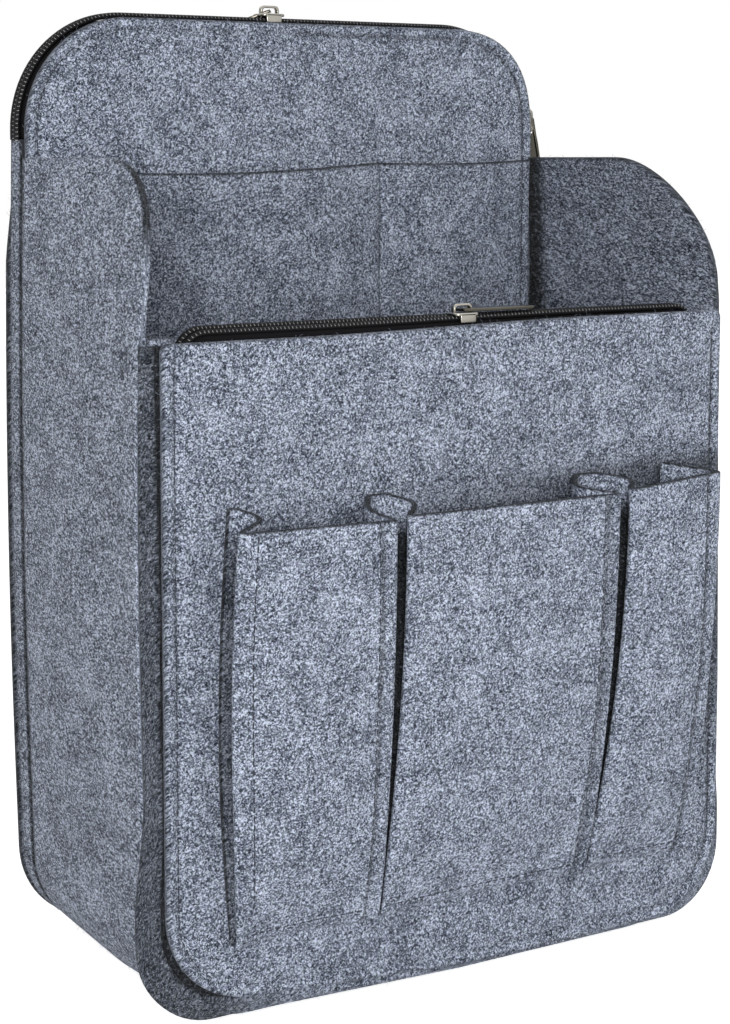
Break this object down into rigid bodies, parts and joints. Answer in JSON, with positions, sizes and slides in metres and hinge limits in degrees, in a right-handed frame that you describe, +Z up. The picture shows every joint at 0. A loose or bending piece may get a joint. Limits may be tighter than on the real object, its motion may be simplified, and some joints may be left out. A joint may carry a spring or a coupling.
{
  "type": "backpack organizer insert",
  "caption": "Open felt organizer insert for a backpack: a box with a zipped rear sleeve, a zipped front pocket, an inner slip pocket and pleated pockets on its face.",
  "frame": {"origin": "centre of the bounding box's bottom", "axes": "+Z up, -Y toward the face with the pleated pockets, +X to its right"},
  "size_m": [0.2596, 0.1528, 0.3699],
  "materials": {
    "felt": "heathered felt",
    "zip_tape": "woven tape",
    "zip_coil": "nylon coil",
    "nickel": "nickel plated"
  },
  "bodies": {
    "body": {"front_outer_panel": "felt", "front_inner_panel": "felt", "front_pocket_gusset": "felt", "main_gusset": "felt", "divider_panel": "felt", "back_panel": "felt", "sleeve_gusset": "felt", "divider_pocket": "felt", "pocket_left": "felt", "pocket_middle": "felt", "pocket_right": "felt", "front_zip_tape_outer": "zip_tape", "front_zip_tape_inner": "zip_tape", "top_zip_tape_front": "zip_tape", "top_zip_tape_back": "zip_tape", "front_zip_coil_outer": "zip_coil", "front_zip_coil_inner": "zip_coil", "top_zip_coil_front": "zip_coil", "top_zip_coil_back": "zip_coil"},
    "front_slider": {"front_slider": "nickel"},
    "front_pull": {"front_pull": "nickel"},
    "top_slider": {"top_slider": "nickel"},
    "top_pull": {"top_pull": "nickel"},
    "side_slider": {"side_slider": "nickel"},
    "side_pull": {"side_pull": "nickel"}
  },
  "joints": [
    {"name": "front_slide", "type": "slide", "parent": "body", "child": "front_slider", "axis": [1, 0, 0], "range_m": [-0.101, 0.087]},
    {"name": "front_pull_swing", "type": "hinge", "parent": "front_slider", "child": "front_pull", "pos_m": [0.004, -0.05035, 0.2543], "axis": [0, -1, 0], "range_deg": [0, 175]},
    {"name": "top_slide", "type": "slide", "parent": "body", "child": "top_slider", "axis": [1, 0, 0], "range_m": [-0.062, 0.042]},
    {"name": "top_pull_swing", "type": "hinge", "parent": "top_slider", "child": "top_pull", "pos_m": [-0.008, 0.06785, 0.3673], "axis": [0, 1, 0], "range_deg": [0, 175]},
    {"name": "side_slide", "type": "hinge", "parent": "body", "child": "side_slider", "pos_m": [0.076, 0.06785, 0.3185], "axis": [0, -1, 0], "range_deg": [0, 50]},
    {"name": "side_pull_swing", "type": "hinge", "parent": "side_slider", "child": "side_pull", "pos_m": [0.12444, 0.06785, 0.32445], "axis": [0, -1, 0], "range_deg": [0, 160]}
  ]
}
